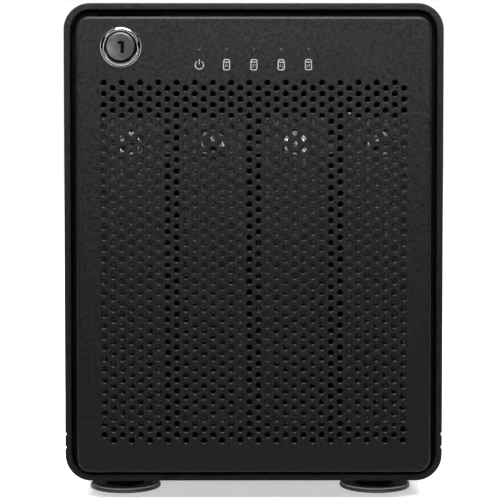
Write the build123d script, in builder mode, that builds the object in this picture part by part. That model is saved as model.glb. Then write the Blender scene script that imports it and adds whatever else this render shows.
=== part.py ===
"""Four-bay desktop drive enclosure: sleeve, lift-off perforated door with a key lock,
four drive trays, backplane, main board, power supply, fan and rear connectors.

Millimetres. Z is up, the front faces -Y, the origin is on the table under the middle.
"""
import os
from math import cos, radians, sin

from build123d import *

# ---- outer sizes
WIDTH = 135.0
HEIGHT = 177.0
FOOT_HEIGHT = 6.3
SLEEVE_WALL = 2.4
SLEEVE_RADIUS = 9.4
SLEEVE_FRONT = -113.5
SLEEVE_REAR = 122.8
SLEEVE_HEIGHT = HEIGHT - FOOT_HEIGHT
SLEEVE_MID = FOOT_HEIGHT + SLEEVE_HEIGHT / 2
INNER_WIDTH = WIDTH - 2 * SLEEVE_WALL
INNER_HEIGHT = SLEEVE_HEIGHT - 2 * SLEEVE_WALL
GROOVE_LEVELS = (18.2, 23.0)
GROOVE_WIDTH = 1.2
GROOVE_DEPTH = 0.45

# ---- door
DOOR_FRONT = -121.0
DOOR_SIDE_GAP = 2.65
DOOR_TOP_GAP = 2.8
DOOR_BOTTOM_GAP = 2.1
DOOR_SHEET = 2.0
DOOR_LIP = 1.6
DOOR_LIP_REAR = -113.2
DOOR_WIDTH = INNER_WIDTH - 2 * DOOR_SIDE_GAP
DOOR_HEIGHT = INNER_HEIGHT - DOOR_TOP_GAP - DOOR_BOTTOM_GAP
DOOR_MID = SLEEVE_MID + (DOOR_BOTTOM_GAP - DOOR_TOP_GAP) / 2
DOOR_RADIUS = 4.7
DOOR_EDGE = 1.4
DOOR_REAR = DOOR_FRONT + DOOR_SHEET
HOLE_RADIUS = 1.0
HOLE_COLUMNS = 34
HOLE_ROWS = 66
HOLE_PITCH = 3.195
ROW_PITCH = 1.942
TOP_ROW = 148.5
PERFORATED_WIDTH = 110.0
INDICATOR_PITCH = 9.56
INDICATOR_LEVEL = 160.3
INDICATOR_RADIUS = 0.55
BACKING_FRONT_WINDOW = 109.2
BACKING_REAR_WINDOW = 114.4
BACKING_STEP = -117.4
BACKING_REAR = -110.5
WINDOW_BOTTOM = 17.4
WINDOW_TOP = 151.0

# ---- door lock
LOCK_X = -46.65
LOCK_Z = 161.05
LOCK_FLANGE_RADIUS = 7.15
LOCK_FLANGE_FRONT = -122.2
LOCK_BARREL_RADIUS = 6.1
LOCK_BORE = 5.0
LOCK_FACE = -122.8
LOCK_REAR = -106.4
CAM_FRONT = -105.2
CAM_THICKNESS = 1.6
CAM_REACH = 11.0

# ---- door studs, in the order x, z
STUD_X = 58.5
STUD_LEVELS = (14.6, 168.5)
STUD_RADIUS = 1.5
SOCKET_RADIUS = 2.5

# ---- front frame and cage
FRAME_FRONT = -110.0
FRAME_REAR = -100.0
CAGE_HALF = 62.0
SHEET = 1.2
CAGE_REAR = 62.0
CAGE_FLOOR = 15.7
CAGE_CEILING = 126.0

# ---- trays and drives
BAY_PITCH = 30.0
BAYS = [(bay - 1.5) * BAY_PITCH for bay in range(4)]
FLANGE_FRONT = -111.0
FLANGE_WIDTH = 23.4
FLANGE_BOTTOM = 26.5
FLANGE_TOP = 136.5
TRAY_HOLE_COLUMNS = 6
TRAY_HOLE_ROWS = (15, 62)
WEB_FRONT = -99.2
STRIP_HALF = 9.0
DRIVE_THICKNESS = 26.1
DRIVE_FRONT = -97.6
DRIVE_LENGTH = 147.0
DRIVE_REAR = DRIVE_FRONT + DRIVE_LENGTH
DRIVE_BOTTOM = 20.0
DRIVE_TOP = 121.6
DRIVE_SCREW_Y = (-65.0, 11.0)
THUMB_Z = 127.5
THUMB_RADIUS = 5.2
THUMB_FRONT = -112.9
THUMB_RECESS = 0.5
RAIL_FRONT = -109.4
RAIL_REAR = -107.8
RAIL_BOTTOM = 123.5
RAIL_SHELF = 0.8
RAIL_TOP = 131.8
RAIL_TAB = 18.0

# ---- rear
REAR_FACE = 119.0
REAR_INNER = 117.6
FAN_X = -16.0
FAN_Z = 71.0
FAN_SIZE = 92.0
FAN_FRONT = 92.5
FAN_REAR = 117.5
FAN_BORE = 43.5
FAN_SCREW_HALF = 41.25
HUB_RADIUS = 17.0
BLADES = 7
BACKPLANE_FRONT = 56.5
BOARD = 1.6
MAIN_BOARD_X = 58.2
JACK_SPANS = ((89.0, 102.5), (106.0, 119.5))
USB_SPANS = ((43.0, 57.0), (62.0, 76.0))
BUTTON_X = 54.0
BUTTON_Z = 32.0
INLET_X = -31.0
INLET_Z = 150.0
SWITCH_X = 16.0
SWITCH_Z = 150.0
ROCKER_PIVOT_Y = 114.0
ROCKER_TILT = 8.0
PSU_FLOOR = 131.0

# ---- feet
FOOT_XS = (-47.3, 44.9)
FOOT_YS = (-94.2, 94.2)
FOOT_DISC_RADIUS = 13.0
FOOT_NECK_RADIUS = 7.0
FOOT_PAD_RADIUS = 11.0


def box(x, y, z, mode=Mode.ADD):
    """Add a box between pairs of limits to the part being built."""
    with Locations((sum(x) / 2, sum(y) / 2, sum(z) / 2)):
        Box(x[1] - x[0], y[1] - y[0], z[1] - z[0], mode=mode)


def rod_y(x, z, radius, y, mode=Mode.ADD):
    """Add a cylinder that lies along Y to the part being built."""
    with Locations((x, sum(y) / 2, z)):
        Cylinder(radius, y[1] - y[0], rotation=(90, 0, 0), mode=mode)


def rod_z(x, y, radius, z, mode=Mode.ADD):
    """Add a cylinder that stands along Z to the part being built."""
    with Locations((x, y, sum(z) / 2)):
        Cylinder(radius, z[1] - z[0], mode=mode)


def facing(y):
    """The upright plane at y whose normal points to the front."""
    return Plane.XZ.offset(-y)


def save(piece, name):
    """Label a finished piece and write its STEP file."""
    piece.part.label = name
    export_step(piece.part, f"parts/{name}.step")


os.makedirs("parts", exist_ok=True)

# ================================================================ case
with BuildPart() as outer_sleeve:
    with BuildSketch(facing(SLEEVE_FRONT)):
        with Locations((0, SLEEVE_MID)):
            RectangleRounded(WIDTH, SLEEVE_HEIGHT, SLEEVE_RADIUS)
            RectangleRounded(INNER_WIDTH, INNER_HEIGHT, SLEEVE_RADIUS - SLEEVE_WALL, mode=Mode.SUBTRACT)
    extrude(amount=SLEEVE_FRONT - SLEEVE_REAR)
    rim = outer_sleeve.faces().sort_by(Axis.Y)[0]
    chamfer(rim.edges(), 0.35)
    for side in (-1, 1):
        for level in GROOVE_LEVELS:
            wall = side * WIDTH / 2
            box(sorted((wall, wall - side * GROOVE_DEPTH)), (SLEEVE_FRONT, SLEEVE_REAR),
                (level - GROOVE_WIDTH / 2, level + GROOVE_WIDTH / 2), Mode.SUBTRACT)
    for foot_x in FOOT_XS:
        for foot_y in FOOT_YS:
            rod_z(foot_x, foot_y, 1.6, (FOOT_HEIGHT - 1, FOOT_HEIGHT + SLEEVE_WALL + 1), Mode.SUBTRACT)
save(outer_sleeve, "outer_sleeve")

# feet: a wide disc on a neck, a rubber pad let into the disc, a screw up into the sleeve
with BuildPart() as foot_discs:
    for foot_x in FOOT_XS:
        for foot_y in FOOT_YS:
            rod_z(foot_x, foot_y, FOOT_DISC_RADIUS, (0.3, 2.0))
            rod_z(foot_x, foot_y, FOOT_NECK_RADIUS, (2.0, FOOT_HEIGHT))
            rod_z(foot_x, foot_y, FOOT_PAD_RADIUS, (0.0, 1.0), Mode.SUBTRACT)
            rod_z(foot_x, foot_y, 3.2, (0.0, 3.4), Mode.SUBTRACT)
            rod_z(foot_x, foot_y, 1.6, (3.0, FOOT_HEIGHT), Mode.SUBTRACT)
save(foot_discs, "foot_discs")

with BuildPart() as foot_pads:
    for foot_x in FOOT_XS:
        for foot_y in FOOT_YS:
            rod_z(foot_x, foot_y, FOOT_PAD_RADIUS - 0.05, (0.0, 1.0))
            rod_z(foot_x, foot_y, 3.2, (0.0, 1.0), Mode.SUBTRACT)
save(foot_pads, "foot_pads")

with BuildPart() as foot_screws:
    for foot_x in FOOT_XS:
        for foot_y in FOOT_YS:
            rod_z(foot_x, foot_y, 2.8, (1.5, 3.4))
            rod_z(foot_x, foot_y, 1.5, (3.4, FOOT_HEIGHT + SLEEVE_WALL + 1.6))
            rod_z(foot_x, foot_y, 1.0, (1.5, 2.4), Mode.SUBTRACT)
save(foot_screws, "foot_screws")

# front frame: the moulded ring behind the door, with the lock window and the stud holes
LOCK_WINDOW = (-55.5, -33.0)
with BuildPart() as front_frame:
    with BuildSketch(facing(FRAME_FRONT)):
        with Locations((0, SLEEVE_MID)):
            RectangleRounded(INNER_WIDTH - 0.4, INNER_HEIGHT - 0.4, SLEEVE_RADIUS - SLEEVE_WALL)
    extrude(amount=FRAME_FRONT - FRAME_REAR)
    box((-61.0, 61.0), (FRAME_FRONT, FRAME_REAR), (17.9, 139.0), Mode.SUBTRACT)
    box(LOCK_WINDOW, (FRAME_FRONT, FRAME_REAR), (152.0, 173.2), Mode.SUBTRACT)
    box((-24.5, 24.5), (FRAME_FRONT, FRAME_FRONT + 3.0), (155.5, 165.5), Mode.SUBTRACT)
    for stud_x in (-STUD_X, STUD_X):
        for stud_z in STUD_LEVELS:
            rod_y(stud_x, stud_z, SOCKET_RADIUS, (FRAME_FRONT, FRAME_REAR), Mode.SUBTRACT)
save(front_frame, "front_frame")

with BuildPart() as door_sockets:
    for stud_x in (-STUD_X, STUD_X):
        for stud_z in STUD_LEVELS:
            rod_y(stud_x, stud_z, SOCKET_RADIUS - 0.02, (FRAME_FRONT, FRAME_REAR))
            rod_y(stud_x, stud_z, STUD_RADIUS + 0.1, (FRAME_FRONT, FRAME_REAR - 1), Mode.SUBTRACT)
save(door_sockets, "door_sockets")

with BuildPart() as lock_strike:
    box((-40.5, LOCK_WINDOW[1] - 0.1), (-107.2, -105.6), (156.0, 167.0))
    box((LOCK_WINDOW[1] - 1.3, LOCK_WINDOW[1] - 0.1), (-107.2, -101.0), (156.0, 167.0))
save(lock_strike, "lock_strike")

with BuildPart() as indicator_board:
    box((-24.0, 24.0), (FRAME_FRONT + 1.3, FRAME_FRONT + 2.9), (156.0, 165.0))
    for lamp in range(-2, 3):
        box((lamp * INDICATOR_PITCH - 1.0, lamp * INDICATOR_PITCH + 1.0),
            (FRAME_FRONT + 0.4, FRAME_FRONT + 1.3), (INDICATOR_LEVEL - 0.8, INDICATOR_LEVEL + 0.8))
save(indicator_board, "indicator_board")

# ================================================================ drive cage
with BuildPart() as cage_plates:
    box((-CAGE_HALF, CAGE_HALF), (FRAME_REAR, CAGE_REAR), (CAGE_FLOOR - SHEET, CAGE_FLOOR))
    box((-CAGE_HALF, CAGE_HALF), (FRAME_REAR, CAGE_REAR), (CAGE_CEILING, CAGE_CEILING + SHEET))
    for bay_x in BAYS:
        with Locations((bay_x, -45, CAGE_FLOOR), (bay_x, 0, CAGE_FLOOR)):
            Box(7, 30, 4, mode=Mode.SUBTRACT)
save(cage_plates, "cage_plates")

with BuildPart() as cage_walls:
    for side in (-1, 1):
        box(sorted((side * (CAGE_HALF + 0.02), side * (CAGE_HALF + SHEET))), (FRAME_REAR, CAGE_REAR),
            (CAGE_FLOOR - SHEET, CAGE_CEILING + SHEET))
        for row in range(5):
            with Locations((side * (CAGE_HALF + SHEET / 2), -19, 35 + 18 * row)):
                Box(4, 110, 5, mode=Mode.SUBTRACT)
save(cage_walls, "cage_walls")

# a shelf across the frame with one upright tab behind each tray face
with BuildPart() as screw_rail:
    box((-60.9, 60.9), (RAIL_FRONT, FRAME_REAR), (RAIL_BOTTOM, RAIL_BOTTOM + RAIL_SHELF))
    for bay_x in BAYS:
        box((bay_x - RAIL_TAB / 2, bay_x + RAIL_TAB / 2), (RAIL_FRONT, RAIL_REAR), (RAIL_BOTTOM, RAIL_TOP))
        rod_y(bay_x, THUMB_Z, 2.6, (RAIL_FRONT, RAIL_REAR), Mode.SUBTRACT)
save(screw_rail, "screw_rail")

with BuildPart() as clinch_nuts:
    for bay_x in BAYS:
        rod_y(bay_x, THUMB_Z, 2.58, (RAIL_FRONT, RAIL_REAR))
        rod_y(bay_x, THUMB_Z, 2.58, (RAIL_REAR, RAIL_REAR + 3.2))
        rod_y(bay_x, THUMB_Z, 1.75, (RAIL_FRONT, RAIL_REAR + 3.2), Mode.SUBTRACT)
save(clinch_nuts, "clinch_nuts")

with BuildPart() as guide_rails:
    for bay_x in BAYS:
        for side in (-1, 1):
            fence = sorted((bay_x + side * 9.4, bay_x + side * 10.8))
            ledge = sorted((bay_x + side * 6.0, bay_x + side * 10.8))
            box(fence, (-97.0, 40.0), (CAGE_FLOOR, 19.6))
            box(ledge, (-97.0, 40.0), (CAGE_FLOOR, 18.1))
            box(fence, (-97.0, 40.0), (122.0, CAGE_CEILING))
            box(ledge, (-97.0, 40.0), (123.5, CAGE_CEILING))
save(guide_rails, "guide_rails")

with BuildPart() as backplane_board:
    box((-60.5, 60.5), (BACKPLANE_FRONT, BACKPLANE_FRONT + BOARD), (17.0, 125.0))
    for bay_x in BAYS:
        with Locations((bay_x, BACKPLANE_FRONT, 96)):
            Box(18, 8, 36, mode=Mode.SUBTRACT)
    for slot_x in (-BAY_PITCH, 0, BAY_PITCH):
        with Locations((slot_x, BACKPLANE_FRONT, 52)):
            Box(7, 8, 40, mode=Mode.SUBTRACT)
save(backplane_board, "backplane_board")

with BuildPart() as drive_sockets:
    for bay_x in BAYS:
        box((bay_x - 3.4, bay_x + 3.4), (DRIVE_REAR + 0.6, BACKPLANE_FRONT - 0.02), (30.0, 73.0))
        box((bay_x - 1.2, bay_x + 1.2), (DRIVE_REAR + 0.6, BACKPLANE_FRONT - 2.0), (32.0, 71.0),
            Mode.SUBTRACT)
save(drive_sockets, "drive_sockets")

# ================================================================ rear
FAN_VENT_RADII = (24.0, 30.0, 36.0, 42.0)
with BuildPart() as rear_panel:
    with BuildSketch(facing(REAR_INNER)):
        with Locations((0, SLEEVE_MID)):
            RectangleRounded(INNER_WIDTH - 0.3, INNER_HEIGHT - 0.3, SLEEVE_RADIUS - SLEEVE_WALL)
        for ring, ring_radius in enumerate(FAN_VENT_RADII):
            with Locations((FAN_X, FAN_Z)):
                with PolarLocations(ring_radius, 20 + 8 * ring):
                    Circle(2.0, mode=Mode.SUBTRACT)
        for span in JACK_SPANS + USB_SPANS:
            left = 41.8 if span in JACK_SPANS else 50.6
            with Locations(((left + MAIN_BOARD_X) / 2, sum(span) / 2)):
                Rectangle(MAIN_BOARD_X - left, span[1] - span[0] + 0.4, mode=Mode.SUBTRACT)
        with Locations((BUTTON_X, BUTTON_Z)):
            Circle(1.8, mode=Mode.SUBTRACT)
        with Locations((INLET_X, INLET_Z)):
            Rectangle(27.4, 20.4, mode=Mode.SUBTRACT)
        with Locations((SWITCH_X, SWITCH_Z)):
            Rectangle(19.4, 13.4, mode=Mode.SUBTRACT)
        with Locations((48, 140)):
            SlotOverall(7, 3, mode=Mode.SUBTRACT)
        for fan_x in (FAN_X - FAN_SCREW_HALF, FAN_X + FAN_SCREW_HALF):
            for fan_z in (FAN_Z - FAN_SCREW_HALF, FAN_Z + FAN_SCREW_HALF):
                with Locations((fan_x, fan_z)):
                    Circle(2.3, mode=Mode.SUBTRACT)
    extrude(amount=REAR_INNER - REAR_FACE)
save(rear_panel, "rear_panel")

REAR_SCREWS = [(x, z) for x in (-58.0, 58.0) for z in (14.5, 128.5, 168.5)]
with BuildPart() as rear_screws:
    for screw_x, screw_z in REAR_SCREWS:
        rod_y(screw_x, screw_z, 3.0, (REAR_FACE + 0.02, REAR_FACE + 2.0))
        rod_y(screw_x, screw_z, 0.9, (REAR_FACE + 1.0, REAR_FACE + 2.0), Mode.SUBTRACT)
save(rear_screws, "rear_screws")

with BuildPart() as fan_frame:
    with Locations((FAN_X, (FAN_FRONT + FAN_REAR) / 2, FAN_Z)):
        Box(FAN_SIZE, FAN_REAR - FAN_FRONT, FAN_SIZE)
    fillet(fan_frame.edges().filter_by(Axis.Y), 5)
    rod_y(FAN_X, FAN_Z, FAN_BORE, (FAN_FRONT, FAN_REAR), Mode.SUBTRACT)
    box((FAN_X - 44, FAN_X + 44), (FAN_REAR - 3, FAN_REAR), (FAN_Z - 2.5, FAN_Z + 2.5))
    box((FAN_X - 2.5, FAN_X + 2.5), (FAN_REAR - 3, FAN_REAR), (FAN_Z - 44, FAN_Z + 44))
    rod_y(FAN_X, FAN_Z, HUB_RADIUS + 1, (FAN_REAR - 3, FAN_REAR))
    rod_y(FAN_X, FAN_Z, 4.0, (FAN_FRONT + 6, FAN_REAR))
    for fan_x in (FAN_X - FAN_SCREW_HALF, FAN_X + FAN_SCREW_HALF):
        for fan_z in (FAN_Z - FAN_SCREW_HALF, FAN_Z + FAN_SCREW_HALF):
            rod_y(fan_x, fan_z, 2.2, (FAN_FRONT, FAN_REAR), Mode.SUBTRACT)
save(fan_frame, "fan_frame")

with BuildPart() as fan_screws:
    for fan_x in (FAN_X - FAN_SCREW_HALF, FAN_X + FAN_SCREW_HALF):
        for fan_z in (FAN_Z - FAN_SCREW_HALF, FAN_Z + FAN_SCREW_HALF):
            rod_y(fan_x, fan_z, 3.6, (REAR_FACE + 0.02, REAR_FACE + 1.8))
            rod_y(fan_x, fan_z, 2.1, (REAR_FACE - 11, REAR_FACE + 0.02))
            rod_y(fan_x, fan_z, 1.1, (REAR_FACE + 0.8, REAR_FACE + 1.8), Mode.SUBTRACT)
save(fan_screws, "fan_screws")

# rotor: hub cup over the fixed spindle, swept blades as slanted plates
BLADE_REACH = 41.5
with BuildPart() as fan_rotor:
    rod_y(FAN_X, FAN_Z, HUB_RADIUS, (FAN_FRONT + 2, FAN_REAR - 4))
    rod_y(FAN_X, FAN_Z, 4.5, (FAN_FRONT + 5, FAN_REAR - 4), Mode.SUBTRACT)
    for blade in range(BLADES):
        turn = 360 / BLADES * blade
        middle = (HUB_RADIUS + BLADE_REACH) / 2 - 0.5
        place = Location((FAN_X + middle * cos(radians(turn)), (FAN_FRONT + FAN_REAR) / 2 - 1,
                          FAN_Z + middle * sin(radians(turn))), (0, -turn, 0))
        with Locations(place):
            Box(BLADE_REACH - HUB_RADIUS + 1, 16, 1.6, rotation=(38, 0, 0))
save(fan_rotor, "fan_rotor")

# ================================================================ main board and its parts
with BuildPart() as main_board:
    box((MAIN_BOARD_X, MAIN_BOARD_X + BOARD), (64.0, REAR_INNER - 0.6), (20.0, 124.0))
save(main_board, "main_board")

CHIPS = ((70, 40, 14), (92, 40, 10), (98, 70, 9), (72, 106, 8), (82, 106, 8), (100, 34, 6))
with BuildPart() as board_chips:
    for chip_y, chip_z, chip_side in CHIPS:
        half = chip_side / 2
        box((MAIN_BOARD_X - 1.5, MAIN_BOARD_X - 0.02), (chip_y - half, chip_y + half),
            (chip_z - half, chip_z + half))
save(board_chips, "board_chips")

with BuildPart() as heatsink:
    box((MAIN_BOARD_X - 3.0, MAIN_BOARD_X - 0.02), (67.0, 91.0), (60.0, 92.0))
    for fin in range(7):
        fin_y = 67.0 + fin * 3.8
        box((MAIN_BOARD_X - 14.0, MAIN_BOARD_X - 3.0), (fin_y, fin_y + 1.2), (60.0, 92.0))
save(heatsink, "heatsink")

with BuildPart() as network_jacks:
    for low, high in JACK_SPANS:
        box((42.0, MAIN_BOARD_X - 0.02), (97.0, REAR_FACE + 0.3), (low, high))
        box((44.2, 56.2), (REAR_FACE - 11.0, REAR_FACE + 0.3), (low + 2.6, high - 2.6), Mode.SUBTRACT)
save(network_jacks, "network_jacks")

with BuildPart() as usb_jacks:
    for low, high in USB_SPANS:
        box((50.8, MAIN_BOARD_X - 0.02), (104.0, REAR_FACE + 0.3), (low, high))
        box((51.6, 57.4), (REAR_FACE - 10.0, REAR_FACE + 0.3), (low + 0.8, high - 0.8), Mode.SUBTRACT)
        box((55.2, 57.0), (REAR_FACE - 10.0, REAR_FACE - 0.7), (low + 1.4, high - 1.4))
save(usb_jacks, "usb_jacks")

with BuildPart() as button_housing:
    box((BUTTON_X - 3.2, MAIN_BOARD_X - 0.02), (108.0, 114.0), (BUTTON_Z - 3.2, BUTTON_Z + 3.2))
    rod_y(BUTTON_X, BUTTON_Z, 1.6, (110.0, 114.0), Mode.SUBTRACT)
save(button_housing, "button_housing")

with BuildPart() as reset_button:
    rod_y(BUTTON_X, BUTTON_Z, 1.5, (110.6, REAR_FACE + 0.6))
save(reset_button, "reset_button")

# ================================================================ mains and power supply
with BuildPart() as ac_inlet:
    box((INLET_X - 15.5, INLET_X + 15.5), (REAR_FACE, REAR_FACE + 1.8), (INLET_Z - 12.5, INLET_Z + 12.5))
    fillet(ac_inlet.edges().filter_by(Axis.Y), 2)
    box((INLET_X - 13.5, INLET_X + 13.5), (102.0, REAR_FACE), (INLET_Z - 10, INLET_Z + 10))
    box((INLET_X - 12, INLET_X + 12), (104.0, REAR_FACE + 1.8), (INLET_Z - 8.2, INLET_Z + 8.2),
        Mode.SUBTRACT)
save(ac_inlet, "ac_inlet")

with BuildPart() as inlet_blades:
    for blade_x, blade_z in ((-7.0, -2.0), (7.0, -2.0), (0.0, 2.0)):
        box((INLET_X + blade_x - 1.0, INLET_X + blade_x + 1.0), (104.02, 116.0),
            (INLET_Z + blade_z - 2.0, INLET_Z + blade_z + 2.0))
save(inlet_blades, "inlet_blades")

with BuildPart() as switch_frame:
    box((SWITCH_X - 10.5, SWITCH_X + 10.5), (REAR_FACE, REAR_FACE + 1.6), (SWITCH_Z - 7.5, SWITCH_Z + 7.5))
    box((SWITCH_X - 9.6, SWITCH_X + 9.6), (104.0, REAR_FACE), (SWITCH_Z - 6.6, SWITCH_Z + 6.6))
    box((SWITCH_X - 8.6, SWITCH_X + 8.6), (108.0, REAR_FACE + 1.6), (SWITCH_Z - 5.9, SWITCH_Z + 5.9),
        Mode.SUBTRACT)
save(switch_frame, "switch_frame")

# the rocker rests with its lower half pressed in, about a pivot inside the frame
rocker_tilt = radians(ROCKER_TILT)
rocker_plane = Plane(origin=(SWITCH_X - 8.3, ROCKER_PIVOT_Y, SWITCH_Z),
                     x_dir=(0, cos(rocker_tilt), sin(rocker_tilt)), z_dir=(1, 0, 0))
with BuildPart() as switch_rocker:
    with BuildSketch(rocker_plane):
        with BuildLine():
            Polyline((-1.5, -4.2), (7.6, -4.4), (6.0, 0), (7.6, 4.4), (-1.5, 4.2), close=True)
        make_face()
    extrude(amount=16.6)
save(switch_rocker, "switch_rocker")

with BuildPart() as psu_board:
    box((-50.0, 50.0), (-60.0, 78.0), (PSU_FLOOR, PSU_FLOOR + BOARD))
    for post_x in (-46.0, 46.0):
        for post_y in (-56.0, 56.0):
            rod_z(post_x, post_y, 3.0, (CAGE_CEILING + SHEET, PSU_FLOOR))
save(psu_board, "psu_board")

PSU_TOP = PSU_FLOOR + BOARD
with BuildPart() as psu_components:
    for cap_y in (-44.0, -22.0):
        rod_z(-34.0, cap_y, 9.0, (PSU_TOP + 0.02, PSU_TOP + 30.0))
    for cap_y in (20.0, 34.0, 48.0):
        rod_z(36.0, cap_y, 5.0, (PSU_TOP + 0.02, PSU_TOP + 20.0))
    box((-8.0, 24.0), (-40.0, -8.0), (PSU_TOP + 0.02, PSU_TOP + 25.0))
    box((-42.0, -18.0), (36.0, 56.0), (PSU_TOP + 0.02, PSU_TOP + 20.0))
    box((-16.0, -13.0), (-50.0, 10.0), (PSU_TOP + 0.02, PSU_TOP + 28.0))
    box((28.0, 31.0), (-40.0, 14.0), (PSU_TOP + 0.02, PSU_TOP + 28.0))
    box((10.0, 30.0), (66.0, 77.0), (PSU_TOP + 0.02, PSU_TOP + 8.0))
    box((-42.0, -24.0), (66.0, 77.0), (PSU_TOP + 0.02, PSU_TOP + 8.0))
save(psu_components, "psu_components")

with BuildPart() as psu_cover:
    box((-54.0, 54.0), (-64.0, 60.0), (CAGE_CEILING + SHEET + 0.02, 169.0))
    box((-53.0, 53.0), (-64.0, 60.0), (CAGE_CEILING + SHEET, 168.0), Mode.SUBTRACT)
    with Locations((0, 0, 168.5)):
        with GridLocations(12, 10, 8, 10):
            Cylinder(3.0, 4, mode=Mode.SUBTRACT)
save(psu_cover, "psu_cover")

# wiring: supply to backplane, supply to main board, inlet to supply, switch to supply, fan lead
RUNS = (
    (2.2, 5.0, ((14, 77.5, 137), (14, 86, 137), (14, 86, 118), (14, BACKPLANE_FRONT + BOARD + 0.2, 118))),
    (1.8, 4.0, ((26, 77.5, 137), (26, 86, 137), (50, 86, 137), (50, 86, 112), (MAIN_BOARD_X - 0.2, 86, 112))),
    (1.6, 4.0, ((INLET_X - 6, 101.8, INLET_Z), (INLET_X - 6, 84, INLET_Z), (INLET_X - 6, 84, 137),
                (INLET_X - 6, 77.2, 137))),
    (1.6, 4.0, ((SWITCH_X - 4, 103.8, SWITCH_Z), (SWITCH_X - 4, 92, SWITCH_Z), (INLET_X + 5, 92, SWITCH_Z),
                (INLET_X + 5, 92, 137), (INLET_X + 5, 77.2, 137))),
    (0.9, 2.5, ((30.2, 100, 112), (37, 100, 112), (37, 92.5, 112), (37, 92.5, 104), (MAIN_BOARD_X - 0.2, 92.5, 104))),
)
harness = []
for run_radius, bend, route in RUNS:
    with BuildPart() as run:
        with BuildLine() as run_line:
            FilletPolyline(*route, radius=bend)
        with BuildSketch(Plane(run_line.line @ 0, z_dir=run_line.line % 0)):
            Circle(run_radius)
        sweep(path=run_line.line)
    harness.append(run.part)
with BuildPart() as wiring_harness:
    add(harness)
save(wiring_harness, "wiring_harness")

# ================================================================ door
with BuildPart() as perforated_sheet:
    with BuildSketch(facing(DOOR_FRONT)):
        with Locations((0, (WINDOW_BOTTOM + WINDOW_TOP) / 2)):
            Rectangle(PERFORATED_WIDTH, WINDOW_TOP - WINDOW_BOTTOM)
        hole_places = [((column - (HOLE_COLUMNS - 1) / 2) * HOLE_PITCH, TOP_ROW - row * ROW_PITCH)
                       for row in range(HOLE_ROWS) for column in range(row % 2, HOLE_COLUMNS, 2)]
        with Locations(*hole_places):
            Circle(HOLE_RADIUS, mode=Mode.SUBTRACT)
    extrude(amount=-DOOR_SHEET, clean=False)

with BuildPart() as door_panel:
    with BuildSketch(facing(DOOR_FRONT)):
        with Locations((0, DOOR_MID)):
            RectangleRounded(DOOR_WIDTH, DOOR_HEIGHT, DOOR_RADIUS)
    extrude(amount=DOOR_FRONT - DOOR_LIP_REAR)
    front_face = door_panel.faces().sort_by(Axis.Y)[0]
    fillet(front_face.outer_wire().edges(), DOOR_EDGE)
    with BuildSketch(facing(DOOR_REAR)):
        with Locations((0, DOOR_MID)):
            RectangleRounded(DOOR_WIDTH - 2 * DOOR_LIP, DOOR_HEIGHT - 2 * DOOR_LIP, DOOR_RADIUS - DOOR_LIP)
    extrude(amount=DOOR_REAR - DOOR_LIP_REAR, mode=Mode.SUBTRACT)
    box((-PERFORATED_WIDTH / 2, PERFORATED_WIDTH / 2), (DOOR_FRONT, DOOR_REAR), (WINDOW_BOTTOM, WINDOW_TOP),
        Mode.SUBTRACT)
    rod_y(LOCK_X, LOCK_Z, LOCK_BARREL_RADIUS + 0.05, (DOOR_FRONT, DOOR_REAR), Mode.SUBTRACT)
    for lamp in range(-2, 3):
        rod_y(lamp * INDICATOR_PITCH, INDICATOR_LEVEL, INDICATOR_RADIUS, (DOOR_FRONT, DOOR_REAR),
              Mode.SUBTRACT)
    add(perforated_sheet.part, clean=False)
save(door_panel, "door_panel")

with BuildPart() as door_backing:
    with BuildSketch(facing(DOOR_REAR)):
        with Locations((0, DOOR_MID)):
            RectangleRounded(DOOR_WIDTH - 2 * DOOR_LIP - 0.4, DOOR_HEIGHT - 2 * DOOR_LIP - 0.4,
                             DOOR_RADIUS - DOOR_LIP - 0.2)
    extrude(amount=DOOR_REAR - BACKING_REAR)
    box((-BACKING_FRONT_WINDOW / 2, BACKING_FRONT_WINDOW / 2), (DOOR_REAR, BACKING_REAR),
        (WINDOW_BOTTOM, WINDOW_TOP), Mode.SUBTRACT)
    box((-BACKING_REAR_WINDOW / 2, BACKING_REAR_WINDOW / 2), (BACKING_STEP, BACKING_REAR),
        (WINDOW_BOTTOM, WINDOW_TOP), Mode.SUBTRACT)
    box((LOCK_X - 10, LOCK_X + 10), (DOOR_REAR, BACKING_REAR), (LOCK_Z - 8.5, 169.0), Mode.SUBTRACT)
    box((-24.5, 24.5), (BACKING_STEP + 3, BACKING_REAR), (155.5, 165.5), Mode.SUBTRACT)
    for lamp in range(-2, 3):
        rod_y(lamp * INDICATOR_PITCH, INDICATOR_LEVEL, INDICATOR_RADIUS + 0.3, (DOOR_REAR, BACKING_REAR),
              Mode.SUBTRACT)
save(door_backing, "door_backing")

with BuildPart() as door_studs:
    for stud_x in (-STUD_X, STUD_X):
        for stud_z in STUD_LEVELS:
            rod_y(stud_x, stud_z, STUD_RADIUS - 0.35, (BACKING_REAR + 0.02, -103.0))
            with Locations((stud_x, -103.2, stud_z)):
                Sphere(STUD_RADIUS)
save(door_studs, "door_studs")

with BuildPart() as light_pipes:
    for lamp in range(-2, 3):
        rod_y(lamp * INDICATOR_PITCH, INDICATOR_LEVEL, INDICATOR_RADIUS - 0.02, (DOOR_FRONT + 0.2, DOOR_REAR))
        rod_y(lamp * INDICATOR_PITCH, INDICATOR_LEVEL, INDICATOR_RADIUS + 0.28, (DOOR_REAR + 0.02, -111.0))
save(light_pipes, "light_pipes")

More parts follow.
